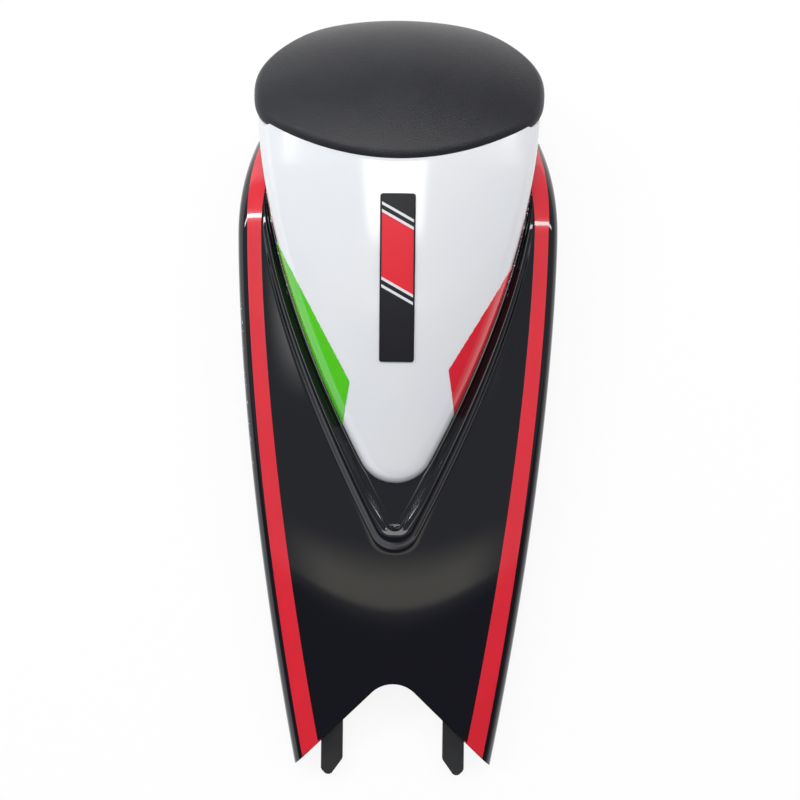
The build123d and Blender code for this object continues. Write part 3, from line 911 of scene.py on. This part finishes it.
def add_fittings(skin):
    """Tongues with their webs, ribs and posts, on the inside of the moulding."""
    tip_x = TONGUE_OUTER_X - TONGUE_OUTER_CHAMFER
    tongue = [
        (TONGUE_INNER_X, TONGUE_ROOT_Y),
        (TONGUE_INNER_X, TONGUE_END_Y + TONGUE_INNER_CHAMFER),
        (tip_x - TONGUE_TIP, TONGUE_END_Y),
        (tip_x, TONGUE_END_Y),
        (TONGUE_OUTER_X, TONGUE_END_Y + TONGUE_OUTER_CHAMFER),
        (TONGUE_OUTER_X, TONGUE_ROOT_Y),
    ]
    tongue_top = TONGUE_Z + TONGUE_THICKNESS
    skin.block(tongue, lambda x, y: TONGUE_Z, lambda x, y: tongue_top, RAW_SLOT, bevel=0.5)

    def under_panel(x, y):
        return panel_z(x, y, -WALL) + FITTING_SINK

    for near in (TONGUE_INNER_X + WEB_INSET, TONGUE_OUTER_X - WEB_THICKNESS - WEB_INSET):
        far = near + WEB_THICKNESS
        back = NOTCH_APEX_Y + WEB_BACK
        web = [(near, TONGUE_ROOT_Y), (near, back - near), (far, back - far), (far, TONGUE_ROOT_Y)]
        skin.block(web, lambda x, y: TONGUE_Z + WEB_SINK, under_panel, RAW_SLOT, bevel=0.3)
    for y in RIB_PLACES:
        inside = crest_half(y, -WALL - RIB_DEPTH)
        columns = []
        for x in spaced(0.0, inside, 16) + [inside + RIB_STEP, crest_half(y, -WALL) + RIB_SINK]:
            low = panel_z(x, y, -WALL - RIB_DEPTH) if x <= inside else lower_edge_z(y) + RIB_FOOT
            high = under_panel(min(x, crest_half(y, -WALL) - RIB_SHY), y)
            back, fore = y - RIB_THICKNESS / 2, y + RIB_THICKNESS / 2
            corners = ((fore, high), (fore, low), (back, low), (back, high))
            columns.append([Vector((x, place, z)) for place, z in corners])
        skin.grid(columns, RAW_SLOT)
    angles = [2 * math.pi * i / 40 for i in range(40)]
    post = [(POST_X + POST_RADIUS * math.cos(a), POST_Y + POST_RADIUS * math.sin(a)) for a in angles]
    skin.block(post, lambda x, y: POST_FOOT_Z, under_panel, RAW_SLOT, bevel=0.0)


def build_moulding():
    """The whole moulding: outside, inside, the edges between them, and the fittings under it."""
    skin = Skin()
    outer_panel, outer_wall = outer_panel_lines(), wall_lines(0.0)
    outer_hump, outer_front = hump_lines(0.0, HUMP_SINK), front_lines(0.0)
    skin.grid(outer_panel, WING_SLOT, flip=True)
    skin.grid(outer_wall, WING_SLOT, flip=True)
    skin.grid(outer_hump, HUMP_SLOT, flip=True)
    skin.grid(outer_front, HUMP_SLOT)
    seat = seat_lines(outer_front, outer_hump[0], 0.0)
    skin.grid([line[:2] for line in seat], HUMP_SLOT)
    skin.grid([line[1:] for line in seat], RAW_SLOT)
    tip = []
    for point in outer_wall[0]:
        tip.append([point, Vector((hump_side(TIP_Y, point.z) - TIP_SINK, TIP_Y, point.z))])
    skin.grid(tip, WING_SLOT)
    inner_panel, inner_wall = inner_panel_lines(), wall_lines(-WALL)
    inner_hump, inner_front = hump_lines(-WALL, 0.0), front_lines(-WALL)
    for lines in (inner_panel, inner_wall, inner_hump):
        skin.grid(lines, RAW_SLOT)
    skin.grid(inner_front, RAW_SLOT, flip=True)
    skin.grid(seat_lines(inner_front, inner_hump[0], -WALL), RAW_SLOT, flip=True)
    skin.grid([[a[-1], b[-1]] for a, b in zip(outer_wall, inner_wall)], RAW_SLOT, flip=True)
    notch = range(SIDE_COLUMNS - 1, SIDE_COLUMNS + APEX_COLUMNS)
    skin.grid([[outer_panel[i][-1], inner_panel[i][-1]] for i in notch], WING_SLOT, flip=True)
    skin.grid([[a, b] for a, b in zip(outer_wall[-1], inner_wall[-1])], WING_SLOT)
    skin.grid([[a[0], b[0]] for a, b in zip(outer_front, inner_front)], RAW_SLOT)
    add_fittings(skin)
    materials = [hump_paint.material, wing_paint.material, raw_plastic.material]
    return skin.finish("cowl_moulding", materials, mirrored=True, sharp=62.0)


def laid(name, base, rises, finish):
    """A thin piece on a grid of surface points."""
    skin = Skin()
    skin.layer(base, rises)
    return skin.finish(name, [finish.material], outward=True)


def build_stripe(side):
    """The red film along one wing's crest."""
    base = []
    for y in spaced(TIP_Y - STRIPE_TIP_GAP, tail_corner_y + STRIPE_TAIL_GAP, 260):
        half = crest_half(y)
        outside = half - lerp(STRIPE_EDGE, STRIPE_TIP_EDGE, tip_run(y))
        width = lerp(STRIPE_FRONT, STRIPE_TAIL, tail_run(y))
        inside = max(half - width, hump_side(y, panel_z(half - width, y)) + FILM_CLEAR)
        if outside - inside < FILM_CLEAR:
            continue
        column = []
        for x in spaced(outside, inside, 9):
            cut_y = max(y, NOTCH_APEX_Y - x + STRIPE_NOTCH_GAP)
            column.append(Vector((side * x, cut_y, section_z(x, cut_y) + FILM_GLUE)))
        base.append(column)
    name = "stripe_left" if side < 0 else "stripe_right"
    return laid(name + "_film", base, lambda i, j: FILM_RISE, red_film), name


def build_flash(side, tip_y, corner_y, low_y):
    """The pointed film on one side of the hump."""
    tip, corner, low = hump_half(tip_y), hump_half(corner_y) - FLASH_WIDTH, hump_half(low_y)
    apex_y = rounded_vee(hump_plan(0.0), CHIN_RADIUS)[-1][1]

    def inside(point):
        if point.y > corner_y:
            return lerp(corner, tip, (point.y - corner_y) / (tip_y - corner_y))
        return lerp(corner, low, (corner_y - point.y) / (corner_y - low_y))

    base = []
    for y in spaced(tip_y - FLASH_TIP_GAP, low_y + FLASH_LOW_GAP, 90):
        root = (hump_half(y), y)
        run = Vector((hump_half(y - 0.5) - hump_half(y + 0.5), -1.0)).normalized()
        inward = Vector((run.y, -run.x))
        foot_z = panel_z(*root) + FLASH_LIFT
        spine_y = spine_at(y, apex_y)
        line = hump_column(root, inward, foot_z, spine_y, wall_rows=30, round_rows=30, crown_rows=200)
        kept = [line[0]]
        for point in line[1:]:
            if point.x < inside(point):
                break
            kept.append(point)
        if len(kept) < 2:
            continue
        base.append([Vector((side * point.x, point.y, point.z)) for point in resampled(kept, 30)])
    name, finish = ("flash_left", green_film) if side < 0 else ("flash_right", red_film)
    return laid(name + "_film", base, lambda i, j: FILM_GLUE + FILM_RISE, finish), name


def build_label():
    """The raised strip on the crown, with rounded corners and a softened rim."""
    ends = [0.0, 0.12, 0.3, 0.55, 0.85, 1.2, 1.5, 2.2]
    length = LABEL_FRONT - LABEL_REAR
    runs = ends + spaced(LABEL_INSET, length - LABEL_INSET, 60) + [length - end for end in ends[::-1]]
    base = []
    for run in runs:
        near = min(run, length - run, LABEL_CORNER)
        half = LABEL_HALF - LABEL_CORNER + math.sqrt(LABEL_CORNER**2 - (LABEL_CORNER - near) ** 2)
        sides = [half - end for end in ends]
        places = sides + spaced(half - LABEL_INSET, LABEL_INSET - half, 9) + [-x for x in sides[::-1]]
        y = LABEL_REAR + run
        base.append([Vector((x, y, crown_z(x, y) + FILM_GLUE)) for x in places])

    def rise(i, j):
        near = min(i, len(base) - 1 - i, j, len(base[0]) - 1 - j)
        rim = ends[min(near, len(ends) - 1)]
        left = 1 - min(1.0, rim / LABEL_RIM)
        return LABEL_RISE - LABEL_ROUND * (1 - math.sqrt(1 - left**2))

    return laid("label_strip", base, rise, label_face)


def pad_frame():
    """Middle of the pad's seat and the directions across it, up it and out of it."""
    lean = Vector((0.0, math.cos(FACE_LEAN), math.sin(FACE_LEAN)))
    return Vector((0.0, PAD_Y, PAD_Z)), Vector((1, 0, 0)), Vector((0, -lean.z, lean.y)), lean


def pad_outline(count):
    """Distances from the pad's middle to the rim of its flat back, at even angles."""
    middle, across, up, lean = pad_frame()
    stud = Vector((STUD_X, STUD_UP))
    rim = []
    for vert in nodes["back_pad"].data.vertices:
        place = vert.co / MM - middle
        x, v = place.dot(across), place.dot(up)
        on_stud = (Vector((abs(x), abs(v))) - stud).length < 2 * STUD_RADIUS
        if abs(place.dot(lean)) < PAD_FLATNESS and not on_stud:
            rim.append((math.atan2(v, x), math.hypot(x, v)))
    rim.sort()
    rim = [(rim[-1][0] - 2 * math.pi, rim[-1][1])] + rim + [(rim[0][0] + 2 * math.pi, rim[0][1])]
    distances, j = [], 0
    for angle in [-math.pi + 2 * math.pi * i / count for i in range(count)]:
        while rim[j + 1][0] < angle:
            j += 1
        span = rim[j + 1][0] - rim[j][0]
        distances.append(lerp(rim[j][1], rim[j + 1][1], (angle - rim[j][0]) / span if span else 0.0))
    for _ in range(2):
        near = zip(distances[-1:] + distances[:-1], distances, distances[1:] + distances[:1])
        distances = [(a + 2 * b + c) / 4 for a, b, c in near]
    return distances


def build_pad(count=280):
    """The back pad: a crowned cushion with a soft rim, a flat back and four studs."""
    middle, across, up, lean = pad_frame()
    barrel = (PAD_FALL_REACH**2 + PAD_FALL**2) / (2 * PAD_FALL)

    def crown(x, v):
        girth = PAD_DOME_UP - barrel + math.sqrt(barrel**2 - x**2)
        return PAD_RISE - PAD_DOME_UP + math.sqrt(girth**2 - v**2)

    columns = []
    for i, rim in enumerate(pad_outline(count)):
        angle = -math.pi + 2 * math.pi * i / count
        way = Vector((math.cos(angle), math.sin(angle)))
        aside = (math.degrees(math.asin(way.y)) - PAD_TUCK_TURN) / PAD_TUCK_REACH
        if abs(aside) < 1:
            rim *= 1 - PAD_TUCK * math.cos(math.pi / 2 * aside) ** 2

        def at(inset, height=None, fall=0.0):
            x, v = way * (rim - inset)
            rise = crown(x, v) - fall if height is None else height
            return middle + across * x + up * (v - PAD_SETTLE) + lean * rise

        edge = crown(*(way * rim)) - PAD_EDGE
        line = [at(rim * (1 - t), PAD_LIFT) for t in (0.0, 0.3, 0.6, 0.9)]
        line += [at(PAD_UNDERCUT * (1 - t), edge * t) for t in (0.0, 0.06, 0.2, 0.45, 0.7, 0.9)]
        for turn in spaced(0.0, math.pi / 2, 12):
            line.append(at(PAD_EDGE * (1 - math.cos(turn)), fall=PAD_EDGE * (1 - math.sin(turn))))
        line += [at(lerp(PAD_EDGE, rim, t)) for t in spaced(0.0, 1.0, 34)[1:]]
        columns.append(line)
    columns.append(columns[0])
    skin = Skin()
    skin.grid(columns)
    for x in (-STUD_X, STUD_X):
        for v in (-STUD_UP, STUD_UP):
            foot = middle + across * x + up * v
            tip = foot - lean * STUD_LENGTH
            stud = []
            for turn in spaced(0.0, 2 * math.pi, 25):
                out = across * math.cos(turn) + up * math.sin(turn)
                side = out * STUD_RADIUS
                end = tip + out * (STUD_RADIUS - STUD_CHAMFER)
                stud.append([foot + side, tip + lean * STUD_CHAMFER + side, end, tip])
            skin.grid(stud)
    return skin.finish("grained_pad", [pad_skin.material], outward=True, weld=0.02)


def dress(piece, node):
    """Puts a piece on the cowl in place of a node, which it hides."""
    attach(piece, "root")
    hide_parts(node)


dress(build_moulding(), "cowl_shell")
for stripe, node in (build_stripe(-1), build_stripe(1)):
    dress(stripe, node)
for side, span, slot in ((-1, FLASH_LEFT, "film_green"), (1, FLASH_RIGHT, "film_red")):
    flash, node = build_flash(side, *span)
    dress(flash, node)
dress(build_label(), "centre_label")
pad = build_pad()
dress(pad, "back_pad")

for name in ("pad_push_nuts", "lock_bracket", "lock_pin", "bracket_screws"):
    nodes[name].data.materials.clear()
    nodes[name].data.materials.append(zinc.material)

# Stage: pale table, soft light and a camera straight above
TABLE_GLOW, TABLE_REACH = 0.87, 4.0
table_mesh = bpy.data.meshes.new("table")
corners = [(TABLE_REACH * x, TABLE_REACH * y, 0) for x, y in ((-1, -1), (1, -1), (1, 1), (-1, 1))]
table_mesh.from_pydata(corners, [], [(0, 1, 2, 3)])
table = bpy.data.objects.new("table", table_mesh)
bpy.context.scene.collection.objects.link(table)
table_top = Finish("table_top", Base_Color=(0.9, 0.9, 0.9, 1), Roughness=0.6)
glow = table_top.node("ShaderNodeEmission", None, {"Color": (1, 1, 1, 1), "Strength": 1.0})
lit = Value(table_top, table_top.shader.outputs[0])
seen = table_top.rays("Is Camera Ray", "Is Glossy Ray") * TABLE_GLOW
mixed = table_top.node("ShaderNodeMixShader", None, {0: seen, 1: lit, 2: glow})
table_top.link(mixed, table_top.tree.nodes["Material Output"].inputs["Surface"])
table_mesh.materials.append(table_top.material)

# The room is dim overhead, with a pale panel above the front and a faint band behind it, and pale towards
# the horizon. The edges are distances to the right and ahead, as shares of the height above the table.
CEILING, REAR_CEILING = (0.29, 0.30, 0.34, 1), (0.05, 0.055, 0.085, 1)
FRONT_PANEL, REAR_BAND = (4.0, 4.0, 3.97, 1), (1.15, 1.12, 0.98, 1)
LEFT_HORIZON, RIGHT_HORIZON = (1.12, 1.20, 1.30, 1), (0.45, 0.46, 0.49, 1)
PANEL_MIDDLE, PANEL_SIDES, PANEL_REAR, PANEL_FRONT = -0.03, (0.20, 0.30), (-0.20, -0.08), (1.0, 1.4)
BAND_SIDES, BAND_REAR, BAND_FRONT, DIM_REAR = (0.2, 0.4), (-0.412, -0.402), (-0.385, -0.335), (-0.43, -0.40)
HORIZON_HEIGHT, HORIZON_SIDES = (0.18, 0.42), (-0.3, 0.3)
world = bpy.data.worlds.new("studio")
bpy.context.scene.world = world
world.use_nodes = True
room = Shading(world.node_tree)
direction = room.node("ShaderNodeTexCoord", output="Generated")
split = room.node("ShaderNodeSeparateXYZ", None, {0: direction}).socket.node
east, north, height = [Value(room, output) for output in split.outputs]
above = height.maths("MAXIMUM", 0.02)
right, ahead = east / above, north / above
panel = 1 - abs(right - PANEL_MIDDLE).ramp(*PANEL_SIDES)
panel = panel * ahead.ramp(*PANEL_REAR) * (1 - ahead.ramp(*PANEL_FRONT))
band = 1 - abs(right).ramp(*BAND_SIDES)
band = band * ahead.ramp(*BAND_REAR) * (1 - ahead.ramp(*BAND_FRONT))
ceiling = room.blend(1 - ahead.ramp(*DIM_REAR), CEILING, REAR_CEILING)
ceiling = room.blend(panel, ceiling, FRONT_PANEL)
ceiling = room.blend(band, ceiling, REAR_BAND)
horizon = room.blend(east.ramp(*HORIZON_SIDES), LEFT_HORIZON, RIGHT_HORIZON)
colour = room.blend(1 - height.ramp(*HORIZON_HEIGHT), ceiling, horizon)
colour = room.blend(room.rays("Is Camera Ray"), colour, (1, 1, 1, 1))
room.link(colour, world.node_tree.nodes["Background"].inputs["Color"])


def strip_lamp(name, place, size, radiance, turn):
    """A flat lamp that faces down and looks this bright in a mirror."""
    light = bpy.data.lights.new(name, "AREA")
    light.shape = "RECTANGLE"
    light.size, light.size_y = size
    light.energy = radiance * math.pi * size[0] * size[1]
    lamp = bpy.data.objects.new(name, light)
    lamp.location = place
    lamp.rotation_euler = (0.0, 0.0, math.radians(turn))
    bpy.context.scene.collection.objects.link(lamp)


strip_lamp("left_strip", (-1.47, 0.85, 1.75), (1.68, 0.22), 19.0, 10.0)
strip_lamp("right_strip", (1.50, 0.74, 1.75), (1.76, 0.18), 13.0, 0.0)

CAMERA_ASIDE, CAMERA_HEIGHT, CAMERA_TURN, CAMERA_LENS, CAMERA_SENSOR = 0.0022, 0.9, 0.63, 67.5, 36.0
camera = bpy.data.objects.new("camera", bpy.data.cameras.new("camera"))
camera.data.lens = CAMERA_LENS
camera.data.sensor_width = CAMERA_SENSOR
camera.location = (CAMERA_ASIDE, 0.0, CAMERA_HEIGHT)
camera.rotation_euler = (0.0, 0.0, math.radians(CAMERA_TURN))
bpy.context.scene.collection.objects.link(camera)
bpy.context.scene.camera = camera
bpy.context.scene.view_settings.view_transform = "Standard"
